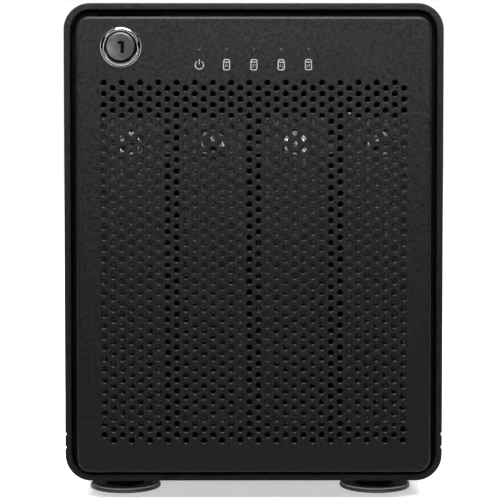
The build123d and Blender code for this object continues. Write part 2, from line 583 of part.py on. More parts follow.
with BuildPart() as lock_barrel:
    rod_y(LOCK_X, LOCK_Z, LOCK_FLANGE_RADIUS, (LOCK_FLANGE_FRONT, DOOR_FRONT - 0.02))
    chamfer(lock_barrel.faces().sort_by(Axis.Y)[0].edges(), 0.6)
    rod_y(LOCK_X, LOCK_Z, LOCK_BARREL_RADIUS, (DOOR_FRONT - 0.02, LOCK_REAR))
    rod_y(LOCK_X, LOCK_Z, LOCK_BORE + 0.05, (LOCK_FLANGE_FRONT, LOCK_REAR), Mode.SUBTRACT)
save(lock_barrel, "lock_barrel")

with BuildPart() as lock_nut:
    with BuildSketch(facing(DOOR_REAR + 0.02)):
        with Locations((LOCK_X, LOCK_Z)):
            RegularPolygon(8.3, 6)
            Circle(LOCK_BARREL_RADIUS + 0.03, mode=Mode.SUBTRACT)
    extrude(amount=-2.5)
save(lock_nut, "lock_nut")

KEYWAY = ((0.05, -2.3), (1.3, -2.3), (1.3, 1.9), (-0.9, 1.9), (-0.9, 0.9), (0.05, 0.9))
with BuildPart() as lock_plug:
    rod_y(LOCK_X, LOCK_Z, LOCK_BORE, (LOCK_FACE, CAM_FRONT - 0.02))
    chamfer(lock_plug.faces().sort_by(Axis.Y)[0].edges(), 0.4)
    with BuildSketch(facing(LOCK_FACE)):
        with BuildLine():
            Polyline(*[(LOCK_X + x, LOCK_Z + z) for x, z in KEYWAY], close=True)
        make_face()
    extrude(amount=-9, mode=Mode.SUBTRACT)
    box((LOCK_X - 2.2, LOCK_X + 2.2), (CAM_FRONT - 0.02, CAM_FRONT + CAM_THICKNESS), (LOCK_Z - 2.2, LOCK_Z + 2.2))
save(lock_plug, "lock_plug")

with BuildPart() as lock_cam:
    with BuildSketch(facing(CAM_FRONT)):
        with Locations((LOCK_X, LOCK_Z)):
            Circle(5.4)
        with Locations((LOCK_X, LOCK_Z + CAM_REACH / 2)):
            Rectangle(7.6, CAM_REACH)
        with Locations((LOCK_X, LOCK_Z)):
            Rectangle(4.44, 4.44, mode=Mode.SUBTRACT)
    extrude(amount=-CAM_THICKNESS)
save(lock_cam, "lock_cam")

with BuildPart() as cam_screw:
    rod_y(LOCK_X, LOCK_Z, 3.4, (CAM_FRONT + CAM_THICKNESS + 0.02, CAM_FRONT + CAM_THICKNESS + 2.0))
save(cam_screw, "cam_screw")

# ================================================================ trays, drives and their screws
# a tray face is perforated on the door's grid, half a step lower, so its web shows behind the door's holes
for bay, bay_x in enumerate(BAYS, 1):
    first = round(bay_x / HOLE_PITCH + (HOLE_COLUMNS - TRAY_HOLE_COLUMNS) / 2)
    tray_holes = [((column - (HOLE_COLUMNS - 1) / 2) * HOLE_PITCH, TOP_ROW - row * ROW_PITCH)
                  for column in range(first, first + TRAY_HOLE_COLUMNS)
                  for row in range(TRAY_HOLE_ROWS[0] + column % 2, TRAY_HOLE_ROWS[1], 2)]
    with BuildPart() as tray:
        with BuildSketch(facing(FLANGE_FRONT)):
            with Locations((bay_x, (FLANGE_BOTTOM + FLANGE_TOP) / 2)):
                RectangleRounded(FLANGE_WIDTH, FLANGE_TOP - FLANGE_BOTTOM, 1.2)
            with Locations(*tray_holes):
                Circle(HOLE_RADIUS, mode=Mode.SUBTRACT)
            with Locations((bay_x, THUMB_Z)):
                Circle(1.8, mode=Mode.SUBTRACT)
        extrude(amount=-SHEET)
        rod_y(bay_x, THUMB_Z, THUMB_RADIUS + 0.6, (FLANGE_FRONT, FLANGE_FRONT + THUMB_RECESS), Mode.SUBTRACT)
        for side in (-1, 1):
            edge = bay_x + side * FLANGE_WIDTH / 2
            box(sorted((edge, edge - side)), (FLANGE_FRONT + SHEET, WEB_FRONT + SHEET), (FLANGE_BOTTOM, 121.8))
        box((bay_x - FLANGE_WIDTH / 2, bay_x + FLANGE_WIDTH / 2), (WEB_FRONT, WEB_FRONT + SHEET), (40.0, 121.8))
        box((bay_x - STRIP_HALF, bay_x + STRIP_HALF), (WEB_FRONT, WEB_FRONT + SHEET), (18.4, 123.2))
        with Locations((bay_x, WEB_FRONT, 70)):
            Box(12, 6, 70, mode=Mode.SUBTRACT)
        for strip in ((18.4, 19.6), (122.0, 123.2)):
            box((bay_x - STRIP_HALF, bay_x + STRIP_HALF), (WEB_FRONT, 45.0), strip)
            for screw_y in DRIVE_SCREW_Y:
                rod_z(bay_x, screw_y, 1.7, strip, Mode.SUBTRACT)
    save(tray, f"tray_{bay}")

    with BuildPart() as drive:
        box((bay_x - DRIVE_THICKNESS / 2, bay_x + DRIVE_THICKNESS / 2), (DRIVE_FRONT, DRIVE_REAR),
            (DRIVE_BOTTOM, DRIVE_TOP))
        fillet(drive.edges().filter_by(Axis.X), 2)
        box((bay_x - 2.6, bay_x + 2.6), (DRIVE_REAR - 4, DRIVE_REAR), (31.0, 72.0), Mode.SUBTRACT)
        for screw_y in DRIVE_SCREW_Y:
            rod_z(bay_x, screw_y, 1.6, (DRIVE_BOTTOM, DRIVE_BOTTOM + 5), Mode.SUBTRACT)
            rod_z(bay_x, screw_y, 1.6, (DRIVE_TOP - 5, DRIVE_TOP), Mode.SUBTRACT)
    save(drive, f"drive_{bay}")

    with BuildPart() as drive_screws:
        for screw_y in DRIVE_SCREW_Y:
            rod_z(bay_x, screw_y, 1.55, (18.5, DRIVE_BOTTOM + 4))
            rod_z(bay_x, screw_y, 1.55, (DRIVE_TOP - 4, 123.1))
    save(drive_screws, f"drive_screws_{bay}")

    with BuildPart() as thumbscrew:
        rod_y(bay_x, THUMB_Z, THUMB_RADIUS, (THUMB_FRONT, FLANGE_FRONT + THUMB_RECESS - 0.05))
        chamfer(thumbscrew.faces().sort_by(Axis.Y)[0].edges(), 0.5)
        box((bay_x - 4.0, bay_x + 4.0), (THUMB_FRONT, THUMB_FRONT + 0.7),
            (THUMB_Z - 0.5, THUMB_Z + 0.5), Mode.SUBTRACT)
        rod_y(bay_x, THUMB_Z, 1.7, (FLANGE_FRONT + THUMB_RECESS - 0.05, RAIL_REAR + 3.0))
    save(thumbscrew, f"thumbscrew_{bay}")
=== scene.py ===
"""Looks of the four-bay drive enclosure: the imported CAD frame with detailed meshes, materials and light.

Metres in the frame's axes: Z up, the front faces -Y. Local sizes are written in millimetres times MM.
"""

import math

import bmesh
import bpy
from mathutils import Matrix, Vector


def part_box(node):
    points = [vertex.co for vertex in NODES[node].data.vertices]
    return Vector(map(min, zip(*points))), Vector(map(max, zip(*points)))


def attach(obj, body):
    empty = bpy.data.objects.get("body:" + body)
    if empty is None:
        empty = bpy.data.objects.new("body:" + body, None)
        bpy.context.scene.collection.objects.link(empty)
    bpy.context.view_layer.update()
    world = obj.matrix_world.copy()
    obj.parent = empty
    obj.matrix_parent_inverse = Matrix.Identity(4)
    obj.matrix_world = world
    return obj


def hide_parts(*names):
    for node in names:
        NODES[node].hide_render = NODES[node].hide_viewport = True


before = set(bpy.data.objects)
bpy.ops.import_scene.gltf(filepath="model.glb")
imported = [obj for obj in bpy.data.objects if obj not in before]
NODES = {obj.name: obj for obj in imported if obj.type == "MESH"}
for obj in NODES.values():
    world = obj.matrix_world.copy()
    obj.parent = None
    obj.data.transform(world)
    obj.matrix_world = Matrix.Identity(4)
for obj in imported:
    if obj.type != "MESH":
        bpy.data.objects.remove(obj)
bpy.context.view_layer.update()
MM = 0.001
BAYS = range(1, 5)


# ---------------------------------------------------------------- frame measures
def span(node, axis):
    """Lowest and highest value of a CAD node along an axis, 0 for X, 1 for Y, 2 for Z."""
    low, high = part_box(node)
    return low[axis], high[axis]


def middle(node):
    """Centre of a CAD node's box."""
    low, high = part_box(node)
    return (Vector(low) + Vector(high)) / 2


# ---------------------------------------------------------------- material helpers
NOISE_LOW = 0.3
NOISE_HIGH = 0.7
FINE_BUMP = 0.35


def shader_inputs(made):
    return made.node_tree.nodes["Principled BSDF"].inputs


def material(name, color, roughness, metallic=0.0):
    """A new material, with the principled shader's even values set on its own sockets."""
    made = bpy.data.materials.new(name)
    made.use_nodes = True
    inputs = shader_inputs(made)
    inputs["Base Color"].default_value = (*color, 1)
    inputs["Roughness"].default_value = roughness
    inputs["Metallic"].default_value = metallic
    return made


def link(made, source, target):
    made.node_tree.links.new(source, target)


def node(made, kind):
    return made.node_tree.nodes.new(kind)


def object_coords(made, stretch=(1, 1, 1)):
    """Object coordinates, stretched per axis for brushed or moulded grain."""
    coords = node(made, "ShaderNodeTexCoord")
    mapping = node(made, "ShaderNodeMapping")
    mapping.inputs["Scale"].default_value = stretch
    link(made, coords.outputs["Object"], mapping.inputs["Vector"])
    return mapping.outputs["Vector"]


def noise(made, vector, scale, detail):
    added = node(made, "ShaderNodeTexNoise")
    added.inputs["Scale"].default_value = scale
    added.inputs["Detail"].default_value = detail
    link(made, vector, added.inputs["Vector"])
    return added.outputs["Fac"]


def blend_colors(made, factor, dark, light):
    """A colour ramp from dark to light over the middle of the noise's values."""
    added = node(made, "ShaderNodeValToRGB")
    stops = added.color_ramp.elements
    stops[0].position, stops[0].color = NOISE_LOW, (*dark, 1)
    stops[1].position, stops[1].color = NOISE_HIGH, (*light, 1)
    link(made, factor, added.inputs["Fac"])
    return added.outputs["Color"]


def map_range(made, factor, start, end, low, high):
    """Maps a factor from start to end onto low to high."""
    added = node(made, "ShaderNodeMapRange")
    added.inputs["From Min"].default_value = start
    added.inputs["From Max"].default_value = end
    added.inputs["To Min"].default_value = low
    added.inputs["To Max"].default_value = high
    link(made, factor, added.inputs["Value"])
    return added.outputs["Result"]


def bump(made, height, distance):
    added = node(made, "ShaderNodeBump")
    added.inputs["Strength"].default_value = FINE_BUMP
    added.inputs["Distance"].default_value = distance
    link(made, height, added.inputs["Height"])
    link(made, added.outputs["Normal"], shader_inputs(made)["Normal"])


def grained(name, dark, light, roughness, grain, depth, stretch=(1, 1, 1), mottle=18, metallic=0.0):
    """A surface whose colour, roughness and fine relief all vary with object-space noise.

    grain is the fine noise's scale per metre, depth its relief in metres, and mottle how many
    times coarser the colour varies.
    """
    rough_low, rough_high = roughness
    made = material(name, dark, rough_low, metallic)
    vector = object_coords(made, stretch)
    broad = noise(made, vector, grain / mottle, 4.0)
    fine = noise(made, vector, grain, 2.0)
    link(made, blend_colors(made, broad, dark, light), shader_inputs(made)["Base Color"])
    rough = map_range(made, fine, NOISE_LOW, NOISE_HIGH, rough_low, rough_high)
    link(made, rough, shader_inputs(made)["Roughness"])
    bump(made, fine, depth)
    return made


# ---------------------------------------------------------------- materials
DULL_SPECULAR = 0.03


def dull(made):
    """Takes nearly all mirror-like shine off a surface."""
    shader_inputs(made)["Specular IOR Level"].default_value = DULL_SPECULAR
    return made


def paint_material(name, dark, light, roughness):
    """Dark satin powder coat: fine orange peel, with its colour mottled about as finely."""
    return dull(grained(name, dark, light, roughness, 2600, 0.00003, mottle=3.0))


CASE_PAINT = paint_material("case_paint", (0.0014, 0.0014, 0.0015), (0.0044, 0.0044, 0.0045), (0.39, 0.46))
DOOR_PAINT = paint_material("door_paint", (0.0009, 0.0009, 0.0009), (0.0037, 0.0037, 0.0038), (0.43, 0.50))
# Painted light: the trays' black paint is made many times lighter than the door's, standing in for the light
# that reaches them only through the door's holes.
TRAY_PAINT_PAINTED_LIGHT = paint_material("tray_paint", (0.042, 0.042, 0.043), (0.094, 0.094, 0.096), (0.39, 0.46))
BLACK = grained("black_moulding", (0.006, 0.006, 0.006), (0.010, 0.010, 0.010), (0.42, 0.54), 1500, 0.00005)
# Painted shade: a near-zero black, far darker than the black moulding, so the frame, backing, rails, sockets
# and foot necks read as the shade they sit in.
SHADE_BLACK = dull(grained("painted_shade_black", (0.0002, 0.0002, 0.0002), (0.0004, 0.0004, 0.0004), (0.60, 0.72),
                          1500, 0.00004))
# The foot's plastic comes in lit and shaded copies: the side darker, the top lighter as painted light, and
# the top edge light grey as a painted highlight.
FOOT_GREY = grained("foot_side", (0.016, 0.016, 0.016), (0.024, 0.024, 0.024), (0.34, 0.44), 1800, 0.00002)
FOOT_TOP_PAINTED_LIGHT = grained("foot_plastic", (0.060, 0.060, 0.061), (0.085, 0.085, 0.087), (0.24, 0.34), 1800, 0.00002)
FOOT_EDGE_PAINTED_HIGHLIGHT = grained("foot_edge_painted_highlight", (0.38, 0.38, 0.39), (0.48, 0.48, 0.49), (0.20, 0.30), 1800, 0.00002)
RUBBER = grained("foot_rubber", (0.012, 0.012, 0.012), (0.018, 0.018, 0.018), (0.75, 0.88), 1200, 0.00006)
ZINC = grained("zinc_sheet", (0.36, 0.37, 0.37), (0.52, 0.53, 0.52), (0.28, 0.42), 500, 0.00002,
               stretch=(1, 0.3, 1), metallic=1.0)
STEEL = grained("plated_steel", (0.15, 0.15, 0.152), (0.24, 0.24, 0.24), (0.26, 0.40), 900, 0.00002,
                metallic=1.0)
CHROME = grained("bright_chrome", (0.13, 0.13, 0.132), (0.19, 0.19, 0.193), (0.05, 0.09), 1400, 0.000006,
                 metallic=1.0)
NICKEL = grained("satin_nickel", (0.03, 0.03, 0.03), (0.13, 0.13, 0.13), (0.42, 0.58), 1500, 0.00014,
                 metallic=1.0)
KNURLED = grained("knurled_chrome", (0.74, 0.74, 0.75), (0.84, 0.84, 0.85), (0.20, 0.30), 1600, 0.00003,
                  metallic=1.0)
ALUMINIUM = grained("cast_aluminium", (0.11, 0.11, 0.12), (0.17, 0.17, 0.18), (0.48, 0.62), 1600, 0.00005,
                    metallic=1.0)
FINS = grained("anodised_fins", (0.42, 0.43, 0.45), (0.52, 0.53, 0.55), (0.26, 0.36), 700, 0.00002,
               stretch=(1, 1, 0.1), metallic=1.0)
# Painted shade: the boards' green is darkened about threefold, so the boards inside the case stay as dark as
# the shade they sit in.
LAMINATE_PAINTED_SHADE = grained("board_laminate", (0.004, 0.020, 0.010), (0.006, 0.028, 0.014), (0.36, 0.48), 800, 0.00004)
COMPONENT = grained("component_case", (0.012, 0.012, 0.013), (0.022, 0.022, 0.023), (0.32, 0.5),
                    1500, 0.00003)
SHELL = grained("plated_shell", (0.17, 0.17, 0.165), (0.27, 0.27, 0.26), (0.26, 0.42), 800, 0.00002,
                metallic=1.0)
CONTACT = grained("contact_gold", (0.72, 0.52, 0.22), (0.82, 0.62, 0.28), (0.18, 0.28), 900, 0.00001,
                  metallic=1.0)
WIRE = grained("wire_jacket", (0.012, 0.012, 0.013), (0.020, 0.020, 0.021), (0.42, 0.55), 900, 0.00004)
LENS = grained("lamp_lens", (0.004, 0.004, 0.005), (0.007, 0.007, 0.008), (0.22, 0.3), 700, 0.00001)
INK = grained("printed_ink", (0.034, 0.034, 0.035), (0.043, 0.043, 0.044), (0.5, 0.6), 2500, 0.00001)
LID = grained("drive_lid", (0.15, 0.15, 0.15), (0.21, 0.21, 0.21), (0.46, 0.58), 900, 0.00003, metallic=1.0)
LABEL = grained("plain_label", (0.62, 0.62, 0.60), (0.72, 0.72, 0.70), (0.42, 0.5), 1200, 0.00001)
# Painted shade: the keyway's walls and floor are the plug's metal, given near black for the dark inside the
# slot.
KEYWAY_PAINTED_SHADE = grained("keyway_painted_shade", (0.003, 0.003, 0.003), (0.006, 0.006, 0.006), (0.6, 0.7), 900, 0.00002)


# ---------------------------------------------------------------- mesh helpers
def piece(name, bm, finishes, body, stands_for=(), smooth=38):
    """Turns a bmesh into a piece that rides on a body, with sharp edges from an angle in degrees."""
    bmesh.ops.recalc_face_normals(bm, faces=bm.faces)
    mesh = bpy.data.meshes.new(name)
    bm.to_mesh(mesh)
    bm.free()
    for polygon in mesh.polygons:
        polygon.use_smooth = True
    mesh.set_sharp_from_angle(angle=math.radians(smooth))
    made = bpy.data.objects.new(name, mesh)
    bpy.context.scene.collection.objects.link(made)
    for finish in finishes:
        mesh.materials.append(finish)
    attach(made, body)
    if stands_for:
        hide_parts(*stands_for)
    return made


MOST_BEVEL = 0.45


def add_box(bm, low, high, bevel=0.0, segments=2, finish=0):
    """A box with rounded edges, whose bevel is at most a set share of its thinnest side."""
    low, high = Vector(low), Vector(high)
    size = high - low
    place = Matrix.Translation((low + high) / 2) @ Matrix.Diagonal((*size, 1))
    made = bmesh.ops.create_cube(bm, size=1, matrix=place)
    faces = {f for v in made["verts"] for f in v.link_faces}
    for face in faces:
        face.material_index = finish
    if bevel > 0:
        edges = {e for v in made["verts"] for e in v.link_edges}
        limit = min(bevel, min(size) * MOST_BEVEL)
        done = bmesh.ops.bevel(bm, geom=list(edges), offset=limit, segments=segments, profile=0.5,
                               affect="EDGES")
        for face in done["faces"]:
            face.material_index = finish


def ring_of(bm, points):
    return [bm.verts.new(p) for p in points]


def bridge(bm, first, second, finish=0):
    """Quads between two closed rings with as many points each."""
    count = len(first)
    for i in range(count):
        j = (i + 1) % count
        bm.faces.new((first[i], first[j], second[j], second[i])).material_index = finish


def lathe(bm, profile, centre, axis="Y", segments=48, finish=0):
    """Revolves (radius, height) points about an axis through centre; a radius of 0 closes to a point."""
    centre = Vector(centre)
    rings = []
    for radius, height in profile:
        if radius < 1e-7:
            spots = [(0, 0)]
        else:
            turns = [2 * math.pi * i / segments for i in range(segments)]
            spots = [(radius * math.cos(t), radius * math.sin(t)) for t in turns]
        if axis == "Y":
            rings.append(ring_of(bm, [centre + Vector((a, height, b)) for a, b in spots]))
        else:
            rings.append(ring_of(bm, [centre + Vector((a, b, height)) for a, b in spots]))
    for first, second in zip(rings, rings[1:]):
        if len(first) == 1 and len(second) == 1:
            continue
        if len(first) == 1 or len(second) == 1:
            tip, ring = (first[0], second) if len(first) == 1 else (second[0], first)
            for i in range(segments):
                bm.faces.new((tip, ring[i], ring[(i + 1) % segments])).material_index = finish
        else:
            bridge(bm, first, second, finish)


def rounded_outline(width, height, radius, steps=10, centre=(0.0, 0.0)):
    """Points of a rounded rectangle in two axes, counter-clockwise, with as many points for any size."""
    points = []
    half_w, half_h = width / 2 - radius, height / 2 - radius
    for corner, (sx, sz) in enumerate(((1, 1), (-1, 1), (-1, -1), (1, -1))):
        for step in range(steps + 1):
            turn = math.radians(90 * corner + 90 * step / steps)
            points.append((centre[0] + sx * half_w + radius * math.cos(turn),
                           centre[1] + sz * half_h + radius * math.sin(turn)))
    return points


def upright(points, y):
    """Outline points as 3-D points on the plane at y."""
    return [Vector((x, y, z)) for x, z in points]


def cap(bm, ring, finish=0):
    """A flat face over a ring."""
    bm.faces.new(ring).material_index = finish


# ---------------------------------------------------------------- CAD nodes that stay, with softened edges
WELD_DISTANCE = 0.002 * MM
BEVEL_ANGLE = math.radians(35)
SHARP_ANGLE = math.radians(32)


def keep(names, finish, bevel):
    """Gives CAD nodes a material, joined faces and small rounded edges, bevel millimetres wide."""
    for name in names.split():
        cad = NODES[name]
        cad.data.materials.clear()
        cad.data.materials.append(finish)
        if "custom_normal" in cad.data.attributes:
            cad.data.attributes.remove(cad.data.attributes["custom_normal"])
        weld = cad.modifiers.new("joined", "WELD")
        weld.merge_threshold = WELD_DISTANCE
        if bevel:
            edge = cad.modifiers.new("edges", "BEVEL")
            edge.width = bevel * MM
            edge.segments = 2
            edge.limit_method = "ANGLE"
            edge.angle_limit = BEVEL_ANGLE
            edge.use_clamp_overlap = True
        for polygon in cad.data.polygons:
            polygon.use_smooth = True
        cad.data.set_sharp_from_angle(angle=SHARP_ANGLE)
        shade = cad.modifiers.new("shade", "WEIGHTED_NORMAL")
        shade.keep_sharp = True


# ================================================================ case
GROOVE_LEVELS = (18.2 * MM, 23.0 * MM)
GROOVE_WIDTH = 1.2 * MM
GROOVE_DEPTH = 0.45 * MM
GROOVE_PROFILE = ((-0.5, 0), (-0.42, GROOVE_DEPTH), (0.42, GROOVE_DEPTH), (0.5, 0))
SLEEVE_WALL = 2.4 * MM
SLEEVE_RADIUS = 9.4 * MM
SLEEVE_EDGE = 0.45 * MM


def sleeve_ring(bm, y, inset, grooved):
    """One ring of the sleeve: a rounded rectangle inset from the outside, with two grooves in each side."""
    low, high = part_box("outer_sleeve")
    width, height = high[0] - low[0], high[2] - low[2]
    centre = (0.0, (low[2] + high[2]) / 2)
    outline = rounded_outline(width - 2 * inset, height - 2 * inset, SLEEVE_RADIUS - inset, 12, centre)
    half = width / 2 - inset
    rising = []
    for level in GROOVE_LEVELS:
        for offset, depth in GROOVE_PROFILE:
            cut = depth if grooved else 0.0
            rising.append((half - cut, level + offset * GROOVE_WIDTH))
    falling = [(-x, z) for x, z in reversed(rising)]
    corner = len(outline) // 4
    points = outline[:2 * corner] + falling + outline[2 * corner:] + rising
    return ring_of(bm, upright(points, y))


def make_sleeve():
    """The wrap-around sleeve, with rounded front rims and plain rear ones."""
    front, rear = span("outer_sleeve", 1)
    edge = SLEEVE_EDGE
    turns = [math.radians(a) for a in (0, 30, 60, 90)]
    rows = [(rear, edge, True), (rear - edge, 0.0, True), (front + edge, 0.0, True)]
    rows += [(front + edge - edge * math.sin(t), edge - edge * math.cos(t), True) for t in turns[1:]]
    rows += [(front + edge - edge * math.cos(t), SLEEVE_WALL - edge + edge * math.sin(t), False)
             for t in turns]
    rows += [(rear - edge, SLEEVE_WALL, False), (rear, SLEEVE_WALL - edge, False)]
    bm = bmesh.new()
    rings = [sleeve_ring(bm, *row) for row in rows]
    for first, second in zip(rings, rings[1:] + rings[:1]):
        bridge(bm, first, second)
    piece("case_sleeve", bm, [CASE_PAINT], "case", ["outer_sleeve"])


# Foot profiles, radius and height in millimetres
FOOT_RADIUS = 13.0 * MM
FOOT_RIM = ((3.3, 1.0), (11.02, 1.0), (11.05, 0.3), (12.6, 0.3), (12.95, 0.5), (13.0, 0.8), (12.98, 1.3),
            (12.8, 1.65), (12.4, 1.88), (11.9, 2.0), (7.05, 2.0), (3.3, 2.0), (3.3, 1.0))
FOOT_NECK = ((1.7, 2.0), (7.0, 2.0), (7.0, 6.3), (1.7, 6.3), (1.7, 2.0))
# Heights that split the disc into its side, its painted highlight band and its painted-light top.
FOOT_PAINTED_HIGHLIGHT_LEVEL = 1.6 * MM
FOOT_PAINTED_LIGHT_LEVEL = 1.99 * MM
FOOT_NECK_LEVEL = 2.01 * MM


def make_feet():
    """Round feet: a wide disc on a neck in painted-shade black; the disc's top edge gets a light grey as a
    painted highlight, and its top a lighter copy of the side's plastic as painted light.
    """
    low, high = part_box("foot_discs")
    bm = bmesh.new()
    for x in (low[0] + FOOT_RADIUS, high[0] - FOOT_RADIUS):
        for y in (low[1] + FOOT_RADIUS, high[1] - FOOT_RADIUS):
            lathe(bm, [(r * MM, h * MM) for r, h in FOOT_RIM], (x, y, 0), "Z", 64)
            lathe(bm, [(r * MM, h * MM) for r, h in FOOT_NECK], (x, y, 0), "Z", 64, 1)
    # Faces high on the rim take the painted highlight, faces on the top take the painted light.
    for face in bm.faces:
        level = face.calc_center_median().z
        if FOOT_PAINTED_HIGHLIGHT_LEVEL < level < FOOT_PAINTED_LIGHT_LEVEL:
            face.material_index = 3
        elif FOOT_PAINTED_LIGHT_LEVEL <= level < FOOT_NECK_LEVEL:
            face.material_index = 2
    finishes = [FOOT_GREY, SHADE_BLACK, FOOT_TOP_PAINTED_LIGHT, FOOT_EDGE_PAINTED_HIGHLIGHT]
    piece("foot_disc_set", bm, finishes, "case", ["foot_discs"])


make_sleeve()
make_feet()
keep("foot_pads", RUBBER, 0.15)
keep("foot_screws rear_screws fan_screws clinch_nuts cam_screw lock_nut door_studs", STEEL, 0.12)
# These parts sit in shade behind the door and get the painted-shade black.
keep("front_frame door_backing guide_rails drive_sockets", SHADE_BLACK, 0.25)
keep("button_housing switch_frame fan_frame", BLACK, 0.25)
keep("door_sockets ac_inlet reset_button", BLACK, 0.2)
keep("cage_plates cage_walls screw_rail lock_strike psu_cover lock_cam", ZINC, 0.15)
keep("rear_panel", CASE_PAINT, 0.15)
# The boards get the darkened green: painted shade.
keep("backplane_board main_board psu_board indicator_board", LAMINATE_PAINTED_SHADE, 0.1)
keep("board_chips", COMPONENT, 0.1)
keep("psu_components", COMPONENT, 0.4)
keep("heatsink", FINS, 0.1)
keep("network_jacks usb_jacks", SHELL, 0.12)
keep("inlet_blades", CONTACT, 0.15)
keep("wiring_harness", WIRE, 0)
keep("light_pipes", LENS, 0.05)
for bay in BAYS:
    # The trays get the lightened paint: painted light.
    keep(f"tray_{bay}", TRAY_PAINT_PAINTED_LIGHT, 0)
    keep(f"drive_screws_{bay}", STEEL, 0.1)


# ================================================================ door
HOLE_RADIUS = 1.0 * MM
HOLE_EDGE = 0.30 * MM
HOLE_COLUMNS = 34
HOLE_ROWS = 66
HOLE_PITCH = 3.195 * MM
ROW_PITCH = 1.942 * MM
TOP_ROW = 148.5 * MM
DOOR_SHEET = 2.0 * MM
DOOR_LIP = 1.6 * MM
DOOR_RADIUS = 4.7 * MM
DOOR_EDGE = 1.4 * MM
LIP_EDGE = 0.2 * MM
LAMP_PITCH = 9.56 * MM
LAMP_Z = 160.3 * MM
LAMP_HOLE = 0.55 * MM
LOCK = middle("lock_barrel")
LOCK_HOLE = 6.15 * MM
HOLE_SIDES = 16
LOCK_SIDES = 48
ROW_THIRDS = 3
CELL_THIRDS = 2 * ROW_THIRDS


class DoorField:
    """The perforated field: one cell per hole, tiled so that neighbouring cells share their corner points."""

    def __init__(self, bm, front, back):
        self.bm = bm
        self.planes = (front, back)
        self.corners = ({}, {})

    def corner(self, side, across, down):
        """A shared point; across counts half pitches from the middle, down counts thirds of a row pitch."""
        known = self.corners[side]
        if (across, down) not in known:
            z = TOP_ROW + ROW_PITCH - down * ROW_PITCH / ROW_THIRDS
            known[across, down] = self.bm.verts.new((across * HOLE_PITCH / 2, self.planes[side], z))
        return known[across, down]

    def border(self, side, left, top, height):
        """Clockwise points round a cell two half pitches wide and some thirds high."""
        keys = [(left, top), (left + 1, top), (left + 2, top)]
        keys += [(left + 2, top + k) for k in range(1, height + 1)]
        keys += [(left + 1, top + height), (left, top + height)]
        keys += [(left, top + k) for k in range(height - 1, 0, -1)]
        return [self.corner(side, *key) for key in keys]

    def hole(self, left, top):
        """One round hole with a small lead-in on the front."""
        front, back = self.planes
        x = (left + 1) * HOLE_PITCH / 2
        z = TOP_ROW + ROW_PITCH - (top + ROW_THIRDS) * ROW_PITCH / ROW_THIRDS
        rows = ((HOLE_RADIUS + HOLE_EDGE, front), (HOLE_RADIUS, front + HOLE_EDGE), (HOLE_RADIUS, back))
        rings = []
        for radius, y in rows:
            turns = [math.radians(90) - 2 * math.pi * (i - 1) / HOLE_SIDES for i in range(HOLE_SIDES)]
            rings.append([self.bm.verts.new((x + radius * math.cos(t), y, z + radius * math.sin(t)))
                          for t in turns])
        bridge(self.bm, self.border(0, left, top, CELL_THIRDS), rings[0])
        bridge(self.bm, rings[0], rings[1])
        bridge(self.bm, rings[1], rings[2])
        bridge(self.bm, rings[2], self.border(1, left, top, CELL_THIRDS))

    def blank(self, left, top):
        """A half cell with no hole, at the stepped top or bottom edge."""
        for side in (0, 1):
            self.bm.faces.new(self.border(side, left, top, ROW_THIRDS))

    def build(self):
        """All the holes, and a blank half cell at one end of each column."""
        for column in range(HOLE_COLUMNS):
            left = 2 * column - HOLE_COLUMNS
            for row in range(column % 2, HOLE_ROWS, 2):
                self.hole(left, ROW_THIRDS * row)
            self.blank(left, 0 if column % 2 else ROW_THIRDS * HOLE_ROWS)

    def rim_edges(self, side):
        """The edges round the whole field on one side."""
        edges = []
        for vert in self.corners[side].values():
            edges += [e for e in vert.link_edges if len(e.link_faces) == 1]
        return list(set(edges))


def loop_edges(bm, ring):
    """The edges of a closed ring, made where they are missing."""
    edges = []
    for first, second in zip(ring, ring[1:] + ring[:1]):
        edges.append(bm.edges.get((first, second)) or bm.edges.new((first, second)))
    return edges


def circle_points(x, y, z, radius, count):
    """Points of an upright circle on the plane at y."""
    turns = [2 * math.pi * i / count for i in range(count)]
    return [Vector((x + radius * math.cos(t), y, z + radius * math.sin(t))) for t in turns]


def make_door():
    """The door's sheet with its holes, its rounded front edge and the lip folded back all round."""
    low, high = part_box("door_panel")
    width, height = high[0] - low[0], high[2] - low[2]
    centre = (0.0, (low[2] + high[2]) / 2)
    front, lip_rear = low[1], high[1]
    back = front + DOOR_SHEET
    bm = bmesh.new()
    field = DoorField(bm, front, back)
    field.build()
    rims = [field.rim_edges(0), field.rim_edges(1)]
    openings = [(lamp * LAMP_PITCH, LAMP_Z, LAMP_HOLE, HOLE_SIDES) for lamp in range(-2, 3)]
    openings.append((LOCK.x, LOCK.z, LOCK_HOLE, LOCK_SIDES))
    for x, z, radius, count in openings:
        front_ring = ring_of(bm, circle_points(x, front, z, radius, count))
        back_ring = ring_of(bm, circle_points(x, back, z, radius, count))
        bridge(bm, front_ring, back_ring)
        rims[0] += loop_edges(bm, front_ring)
        rims[1] += loop_edges(bm, back_ring)

    def outline(inset, y):
        points = rounded_outline(width - 2 * inset, height - 2 * inset, DOOR_RADIUS - inset, 10, centre)
        return ring_of(bm, upright(points, y))

    turns = [math.radians(a) for a in (0, 15, 30, 45, 60, 75, 90)]
    rows = [outline(DOOR_EDGE * (1 - math.sin(t)), front + DOOR_EDGE * (1 - math.cos(t))) for t in turns]
    rows += [outline(0, lip_rear - LIP_EDGE), outline(LIP_EDGE, lip_rear),
             outline(DOOR_LIP - LIP_EDGE, lip_rear), outline(DOOR_LIP, lip_rear - LIP_EDGE),
             outline(DOOR_LIP, back)]
    for first, second in zip(rows, rows[1:]):
        bridge(bm, first, second)
    rims[0] += loop_edges(bm, rows[0])
    rims[1] += loop_edges(bm, rows[-1])
    for rim in rims:
        bmesh.ops.triangle_fill(bm, edges=rim, use_beauty=True, use_dissolve=False)
    piece("door_skin", bm, [DOOR_PAINT], "door", ["door_panel"], smooth=30)


